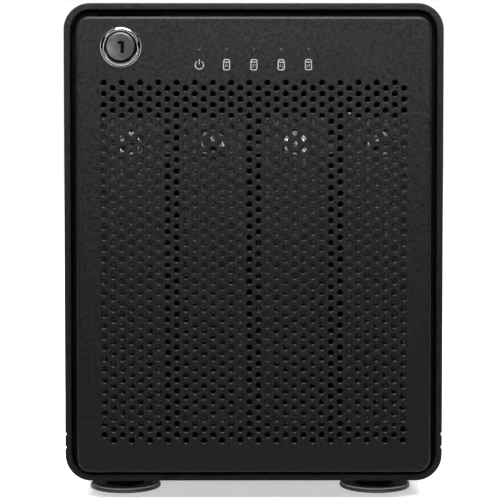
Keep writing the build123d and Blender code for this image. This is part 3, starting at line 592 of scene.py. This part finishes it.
def stroke(bm, points, width, y, depth, closed=False):
    """A thin printed line through points in X and Z, as a flat raised ribbon."""
    count = len(points)
    left, right = [], []
    for i, (x, z) in enumerate(points):
        before = points[i - 1] if i or closed else points[i]
        after = points[(i + 1) % count] if i < count - 1 or closed else points[i]
        along = Vector((after[0] - before[0], after[1] - before[1])).normalized()
        side = Vector((-along.y, along.x)) * width / 2
        left.append((x + side.x, z + side.y))
        right.append((x - side.x, z - side.y))
    steps = range(count if closed else count - 1)
    layers = [[ring_of(bm, upright(edge, plane)) for edge in (left, right)] for plane in (y, y - depth)]
    for i in steps:
        j = (i + 1) % count
        for lower, upper in layers:
            bm.faces.new((lower[i], lower[j], upper[j], upper[i]))
        for edge in (0, 1):
            bm.faces.new((layers[0][edge][i], layers[0][edge][j], layers[1][edge][j], layers[1][edge][i]))
    if not closed:
        for i in (0, count - 1):
            bm.faces.new((layers[0][0][i], layers[0][1][i], layers[1][1][i], layers[1][0][i]))


def arc(x, z, radius_x, radius_z, start, end, steps):
    """Points along an arc of an ellipse, its angles in degrees."""
    turns = [math.radians(start + (end - start) * i / steps) for i in range(steps + 1)]
    return [(x + radius_x * math.cos(t), z + radius_z * math.sin(t)) for t in turns]


ICON_Z = 154.8 * MM
ICON_LINE = 0.33 * MM
ICON_DEPTH = 0.02 * MM
POWER_RADIUS = 1.45 * MM
DISK_HALF_WIDTH = 1.08 * MM
DISK_HALF_FLAT = 0.48 * MM
DISK_HALF_HEIGHT = 1.35 * MM
ZIGZAG_LINE = 0.6 * ICON_LINE
ZIGZAG_WIDTH = 1.0 * MM
ZIGZAG_LOW = ICON_Z - 0.9 * MM
ZIGZAG_HIGH = ICON_Z + 0.2 * MM


def make_icons():
    """A power sign and four disk signs, each with its own zigzag, printed under the indicator lamps."""
    y = span("door_panel", 1)[0]
    bm = bmesh.new()
    x = -2 * LAMP_PITCH
    ring = arc(x, ICON_Z - 0.1 * MM, POWER_RADIUS, POWER_RADIUS, 125, 415, 28)
    stroke(bm, ring, ICON_LINE, y, ICON_DEPTH)
    stroke(bm, [(x, ICON_Z + 0.1 * MM), (x, ICON_Z + 1.9 * MM)], ICON_LINE, y, ICON_DEPTH)
    top, bottom = ICON_Z + DISK_HALF_HEIGHT, ICON_Z - DISK_HALF_HEIGHT
    for lamp in range(-1, 3):
        x = lamp * LAMP_PITCH
        lid = arc(x, top, DISK_HALF_WIDTH, DISK_HALF_FLAT, 0, 360, 28)[:-1]
        stroke(bm, lid, ICON_LINE, y, ICON_DEPTH, closed=True)
        base = arc(x, bottom, DISK_HALF_WIDTH, DISK_HALF_FLAT, 180, 360, 14)
        side = [(x - DISK_HALF_WIDTH, top)] + base + [(x + DISK_HALF_WIDTH, top)]
        stroke(bm, side, ICON_LINE, y, ICON_DEPTH)
        folds = lamp + 3
        zigzag = [(x + (i / folds - 0.5) * ZIGZAG_WIDTH, ZIGZAG_HIGH if i % 2 else ZIGZAG_LOW)
                  for i in range(folds + 1)]
        stroke(bm, zigzag, ZIGZAG_LINE, y, ICON_DEPTH)
    piece("door_icons", bm, [INK], "door")


KEYWAY = ((0.05, -2.3), (1.3, -2.3), (1.3, 1.9), (-0.9, 1.9), (-0.9, 0.9), (0.05, 0.9))
KEYWAY_DEPTH = 7 * MM
PLUG_FACE_RADIUS = 4.4 * MM
PLUG_TAIL = 2 * MM
PLUG_TAIL_HALF = 2.2 * MM


def make_lock():
    """Cam lock: a bright turned collar, and a plug with a flat satin face and its keyway, whose walls and
    floor are near black as painted shade.
    """
    face, rear = span("lock_plug", 1)
    front = span("door_panel", 1)[0]
    flange, barrel_rear = span("lock_barrel", 1)
    seat = front - 0.02 * MM
    collar = [(5.08, barrel_rear), (5.08, flange + 1.5 * MM), (5.3, flange + 0.55 * MM),
              (5.6, flange + 0.12 * MM), (5.9, flange), (6.2, flange + 0.03 * MM),
              (6.6, flange + 0.25 * MM), (6.92, flange + 0.7 * MM), (7.1, flange + 1.4 * MM),
              (7.15, flange + 2.2 * MM), (7.15, seat), (6.1, seat), (6.1, barrel_rear), (5.08, barrel_rear)]
    bm = bmesh.new()
    lathe(bm, [(r * MM, y) for r, y in collar], (LOCK.x, 0, LOCK.z), "Y", 72)
    piece("lock_collar", bm, [CHROME], "door", ["lock_barrel"])

    keyway = [(LOCK.x + x * MM, LOCK.z + z * MM) for x, z in KEYWAY]
    plug_rear = rear - PLUG_TAIL
    rows = [(4.55, face + 0.02 * MM), (4.8, face + 0.12 * MM), (4.96, face + 0.4 * MM),
            (5.0, face + 0.8 * MM), (5.0, plug_rear)]
    bm = bmesh.new()
    rings = []
    for radius, y in rows:
        rings.append(ring_of(bm, circle_points(LOCK.x, y, LOCK.z, radius * MM, 64)))
    for first, second in zip(rings, rings[1:]):
        bridge(bm, first, second)
    cap(bm, rings[-1])
    mouth = ring_of(bm, upright(keyway, face))
    floor = ring_of(bm, upright(keyway, face + KEYWAY_DEPTH))
    bridge(bm, mouth, floor, 1)
    cap(bm, floor, 1)
    inner = ring_of(bm, circle_points(LOCK.x, face, LOCK.z, PLUG_FACE_RADIUS, 64))
    bridge(bm, inner, rings[0])
    bmesh.ops.triangle_fill(bm, edges=loop_edges(bm, inner) + loop_edges(bm, mouth), use_beauty=True)
    half = PLUG_TAIL_HALF
    add_box(bm, (LOCK.x - half, plug_rear, LOCK.z - half), (LOCK.x + half, rear, LOCK.z + half))
    piece("lock_core", bm, [NICKEL, KEYWAY_PAINTED_SHADE], "lock", ["lock_plug"])


make_door()
make_icons()
make_lock()


# ================================================================ trays
KNURLS = 30
KNOB_SIDES = 4 * KNURLS
KNOB_HEAD = 2.3 * MM
KNURL_DEPTH = 0.16 * MM
KNOB_DISH = 0.30 * MM
THREAD_PITCH = 0.7 * MM
THREAD_RADIUS = 1.7
THREAD_ROOT = 1.45
SHANK_TIP = 1.3


def make_thumb_knob(bay):
    """A knurled knob with a dished, turned face, on its threaded shank."""
    low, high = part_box(f"thumbscrew_{bay}")
    x, z = (low[0] + high[0]) / 2, (low[2] + high[2]) / 2
    head_front, head_rear = low[1], low[1] + KNOB_HEAD
    rows = [(2.2, 0.0, head_front + KNOB_DISH), (2.5, 0.0, head_front + 0.05 * MM), (4.45, 0.0, head_front),
            (4.8, 0.3, head_front + 0.1 * MM), (5.06, 0.7, head_front + 0.35 * MM),
            (5.2, 1.0, head_front + 0.8 * MM), (5.2, 1.0, head_rear - 0.3 * MM), (4.8, 0.3, head_rear),
            (THREAD_RADIUS, 0.0, head_rear)]
    bm = bmesh.new()
    rings = []
    for reach, knurl, y in rows:
        ring = []
        for i in range(KNOB_SIDES):
            turn = 2 * math.pi * i / KNOB_SIDES
            radius = reach * MM - knurl * KNURL_DEPTH * (1 - math.cos(KNURLS * turn))
            ring.append(Vector((x + radius * math.cos(turn), y, z + radius * math.sin(turn))))
        rings.append(ring_of(bm, ring))
    hub = bm.verts.new((x, head_front + KNOB_DISH, z))
    for i in range(KNOB_SIDES):
        bm.faces.new((hub, rings[0][i], rings[0][(i + 1) % KNOB_SIDES]))
    for first, second in zip(rings, rings[1:]):
        bridge(bm, first, second)
    shank = [(THREAD_RADIUS, head_rear)]
    for turn in range(int((high[1] - head_rear) / THREAD_PITCH)):
        shank += [(THREAD_ROOT, head_rear + (turn + 0.5) * THREAD_PITCH),
                  (THREAD_RADIUS, head_rear + (turn + 1) * THREAD_PITCH)]
    shank += [(SHANK_TIP, high[1]), (0, high[1])]
    lathe(bm, [(r * MM, y) for r, y in shank], (x, 0, z), "Y", 32)
    body = f"thumbscrew_{bay}"
    piece(f"thumb_knob_{bay}", bm, [KNURLED], body, [body], smooth=50)


def lathe_x(bm, profile, centre, segments, finish):
    """Revolves (radius, depth) millimetre points about the X direction, depths measured inwards."""
    centre = Vector(centre)
    rings = []
    for radius, depth in profile:
        if radius == 0:
            rings.append([bm.verts.new(centre + Vector((depth * MM, 0, 0)))])
            continue
        turns = [2 * math.pi * i / segments for i in range(segments)]
        rings.append(ring_of(bm, [centre + Vector((depth, radius * math.cos(t), radius * math.sin(t))) * MM
                                  for t in turns]))
    for first, second in zip(rings, rings[1:]):
        if len(first) == 1:
            for i in range(segments):
                bm.faces.new((first[0], second[i], second[(i + 1) % segments])).material_index = finish
        else:
            bridge(bm, first, second, finish)
    cap(bm, rings[-1], finish)


# Drive: depths from its sides and places on it, in millimetres
BASE_LEFT = 2.2
BASE_RIGHT = 2.6
LID_FACE = 0.2
LID_BOSS = ((0, 0.0), (36, 0.0), (38, 0.5), (39, 1.0))
LID_SCREW = ((0, 0.35), (0.8, 0.35), (0.9, 0.0), (2.2, 0.0), (2.6, 0.4), (2.6, 0.9))
BOARD_FACE = 1.2
CHIPS = ((82, 30, 7), (104, 58, 8), (122, 34, 4), (92, 78, 5), (126, 80, 4))
PINS = 22
PIN_PITCH = 1.27


def make_drive(bay):
    """A 3.5 inch drive on its side: cast base, pressed lid with screws and a plain label, board, contacts."""
    (x0, y0, z0), (x1, y1, z1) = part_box(f"drive_{bay}")
    mid_x, mid_y, mid_z = middle(f"drive_{bay}")
    lid_x, board_x = x0 + LID_FACE * MM, x1 - BOARD_FACE * MM
    bm = bmesh.new()
    add_box(bm, (x0 + BASE_LEFT * MM, y0, z0), (x1 - BASE_RIGHT * MM, y1, z1), 1.6 * MM, 3, 0)
    add_box(bm, (x0 + 1.0 * MM, y0 + 1.5 * MM, z0 + 1.5 * MM), (x0 + 2.3 * MM, y1 - 5 * MM, z1 - 1.5 * MM),
            1.0 * MM, 3, 1)
    lathe_x(bm, LID_BOSS, (lid_x, mid_y - 22 * MM, mid_z), 64, 1)
    add_box(bm, (x0 + 0.12 * MM, mid_y - 46 * MM, z0 + 26 * MM), (lid_x, mid_y + 2 * MM, z1 - 26 * MM),
            0, 1, 3)
    for screw_y in (y0 + 5 * MM, mid_y, y1 - 12 * MM):
        for screw_z in (z0 + 6 * MM, z1 - 6 * MM):
            lathe_x(bm, LID_SCREW, (lid_x, screw_y, screw_z), 24, 1)
    add_box(bm, (x1 - BASE_RIGHT * MM, y0 + 58 * MM, z0 + 3 * MM), (board_x, y1 - 1 * MM, z1 - 3 * MM),
            0.2 * MM, 1, 2)
    for chip_y, chip_z, half in CHIPS:
        centre_y, centre_z = y0 + chip_y * MM, z0 + chip_z * MM
        add_box(bm, (board_x, centre_y - half * MM, centre_z - half * MM),
                (x1 - 0.1 * MM, centre_y + half * MM, centre_z + half * MM), 0.2 * MM, 1, 4)
    for pin in range(PINS):
        pin_z = z0 + 13 * MM + pin * PIN_PITCH * MM
        add_box(bm, (mid_x - 0.4 * MM, y1 - 0.2 * MM, pin_z), (mid_x + 0.4 * MM, y1, pin_z + 0.7 * MM),
                0, 1, 5)
    # The drive's board takes the darkened green: painted shade.
    piece(f"hard_drive_{bay}", bm, [ALUMINIUM, LID, LAMINATE_PAINTED_SHADE, LABEL, COMPONENT, CONTACT], f"tray_{bay}",
          [f"drive_{bay}"])


for bay in BAYS:
    make_thumb_knob(bay)
    make_drive(bay)


# ================================================================ rear
BLADES = 7
BLADE_ROWS = 9
BLADE_COLUMNS = 10
BLADE_SWEEP = 0.93
BLADE_RAKE = 0.25
BLADE_BOW = 1.4 * MM
BLADE_THICKNESS = 0.9 * MM
HUB_RADIUS = 17.0 * MM
HUB_WALL = 1 * MM
SPINDLE_RADIUS = 4.6 * MM
BLADE_ROOT = HUB_RADIUS - 0.4 * MM
BLADE_REACH = 24.5 * MM


def blade_sheet(bm, start, front, back, centre, side):
    """One face of a blade as rows of points from root to tip, side being -0.5 or 0.5 of its thickness."""
    sheet = []
    for i in range(BLADE_ROWS):
        reach = i / (BLADE_ROWS - 1)
        radius = BLADE_ROOT + BLADE_REACH * reach
        row = []
        for j in range(BLADE_COLUMNS):
            chord = j / (BLADE_COLUMNS - 1)
            turn = start + BLADE_SWEEP * chord - BLADE_RAKE * reach ** 2
            bow = BLADE_BOW * math.sin(math.pi * chord)
            body = BLADE_THICKNESS * (1 - 0.5 * chord) * side
            y = front + 2.0 * MM + (back - front - 4.5 * MM) * chord ** 1.15 + body - bow
            row.append(bm.verts.new((centre.x + radius * math.cos(turn), y,
                                     centre.z + radius * math.sin(turn))))
        sheet.append(row)
    for upper, lower in zip(sheet, sheet[1:]):
        for j in range(BLADE_COLUMNS - 1):
            bm.faces.new((upper[j], lower[j], lower[j + 1], upper[j + 1]))
    return sheet


def make_fan():
    """Seven twisted, swept blades round a cupped hub."""
    front, back = span("fan_rotor", 1)
    centre = middle("fan_rotor")
    bm = bmesh.new()
    cup = front + 2.4 * MM
    hub = [(0, front), (HUB_RADIUS - 4 * MM, front), (HUB_RADIUS - 1.2 * MM, front + 0.6 * MM),
           (HUB_RADIUS, front + 2 * MM), (HUB_RADIUS, back), (HUB_RADIUS - HUB_WALL, back),
           (HUB_RADIUS - HUB_WALL, cup), (SPINDLE_RADIUS, cup), (SPINDLE_RADIUS, back - 3 * MM),
           (0, back - 3 * MM)]
    lathe(bm, hub, (centre.x, 0, centre.z), "Y", 64)
    last_row, last_column = BLADE_ROWS - 1, BLADE_COLUMNS - 1
    outline = [(0, j) for j in range(last_column)] + [(i, last_column) for i in range(last_row)]
    outline += [(last_row, j) for j in range(last_column, 0, -1)] + [(i, 0) for i in range(last_row, 0, -1)]
    for blade in range(BLADES):
        start = 2 * math.pi * blade / BLADES
        sheets = [blade_sheet(bm, start, front, back, centre, side) for side in (-0.5, 0.5)]
        rims = [[sheet[i][j] for i, j in outline] for sheet in sheets]
        bridge(bm, rims[0], rims[1])
    piece("fan_impeller", bm, [BLACK], "fan_rotor", ["fan_rotor"], smooth=45)


make_fan()
keep("switch_rocker", COMPONENT, 0.5)


# ================================================================ stage, light and camera
FLOOR_HALF = 6.0
FLOOR_GLOW = 0.5
FAR_GLOW = 1.0
NEAR_REACH = 0.5
FAR_REACH = 2.0


def stage_floor():
    """A pale floor that glows like a light table, more with distance, so it stays white to the horizon."""
    bm = bmesh.new()
    corners = ((-1, -1), (1, -1), (1, 1), (-1, 1))
    cap(bm, ring_of(bm, [(FLOOR_HALF * x, FLOOR_HALF * y, 0) for x, y in corners]))
    mesh = bpy.data.meshes.new("floor")
    bm.to_mesh(mesh)
    bm.free()
    floor = bpy.data.objects.new("floor", mesh)
    bpy.context.scene.collection.objects.link(floor)
    white = material("floor_white", (0.80, 0.80, 0.80), 0.7)
    shader_inputs(white)["Emission Color"].default_value = (1, 1, 1, 1)
    distance = node(white, "ShaderNodeVectorMath")
    distance.operation = "LENGTH"
    link(white, object_coords(white), distance.inputs[0])
    glow = map_range(white, distance.outputs["Value"], NEAR_REACH, FAR_REACH, FLOOR_GLOW, FAR_GLOW)
    link(white, glow, shader_inputs(white)["Emission Strength"])
    mesh.materials.append(white)


def soft_light(name, place, target, size, power, diffuse=True, glossy=True):
    """A soft box the camera does not see, lighting surfaces, their shine or both."""
    data = bpy.data.lights.new(name, "AREA")
    data.shape = "RECTANGLE"
    data.size, data.size_y = size
    data.energy = power
    lamp = bpy.data.objects.new(name, data)
    lamp.location = place
    lamp.rotation_mode = "QUATERNION"
    lamp.rotation_quaternion = (Vector(target) - Vector(place)).to_track_quat("-Z", "Y")
    lamp.visible_camera = False
    lamp.visible_diffuse = diffuse
    lamp.visible_glossy = glossy
    bpy.context.scene.collection.objects.link(lamp)


def set_world():
    """White all round for the eye alone: the soft boxes and the floor do all the lighting."""
    world = bpy.data.worlds.new("studio")
    world.use_nodes = True
    background = world.node_tree.nodes["Background"]
    background.inputs["Color"].default_value = (1, 1, 1, 1)
    background.inputs["Strength"].default_value = 1.0
    world.cycles_visibility.diffuse = False
    world.cycles_visibility.glossy = False
    bpy.context.scene.world = world
    bpy.context.scene.view_settings.view_transform = "Standard"


EYE = (-3.8 * MM, -689.1 * MM, 129.6 * MM)
LOOK_DOWN = math.radians(2.242)
LOOK_ASIDE = math.radians(-0.245)
SENSOR_WIDTH = 36
FOCAL_LENGTH = 116.45
FRAME_SHIFT = -0.10
CLIP_START = 0.01


def place_camera():
    """Eye over half a metre in front of the door, just above its middle, looking slightly down."""
    data = bpy.data.cameras.new("camera")
    data.sensor_width = SENSOR_WIDTH
    data.lens = FOCAL_LENGTH
    data.shift_y = FRAME_SHIFT
    data.clip_start = CLIP_START
    camera = bpy.data.objects.new("camera", data)
    camera.location = EYE
    camera.rotation_euler = (math.pi / 2 - LOOK_DOWN, 0, LOOK_ASIDE)
    bpy.context.scene.collection.objects.link(camera)
    bpy.context.scene.camera = camera


stage_floor()
set_world()
soft_light("overhead", (0, 0.1, 1.8), (0, 0.1, 0), (3.4, 3.4), 75)
soft_light("key", (0, -0.27, 0.24), (0, -0.11, 0.235), (0.5, 0.07), 6.6, glossy=False)
soft_light("front", (-0.03, -0.95, 0.15), (0, -0.1, 0.12), (0.30, 0.20), 3.8, glossy=False)
soft_light("rim_shine", (0, -0.35, 0.80), (0, -0.12, 0.09), (0.5, 0.2), 75, diffuse=False)
soft_light("left_shine", (-0.36, -0.42, 0.42), (-0.04, -0.1, 0.16), (0.12, 0.12), 0.45, diffuse=False)
soft_light("right_shine", (0.26, -0.42, 0.36), (-0.04, -0.1, 0.16), (0.08, 0.14), 0.35, diffuse=False)
soft_light("strip_shine", (0, -0.75, 0.19), (0, -0.1, 0.08), (0.4, 0.02), 0.20, diffuse=False)
for x, z in ((-0.26, 0.04), (0.25, 0.05)):
    soft_light("spark", (x, -0.75, z), (0, -0.1, 0.13), (0.05, 0.05), 0.25, diffuse=False)
place_camera()
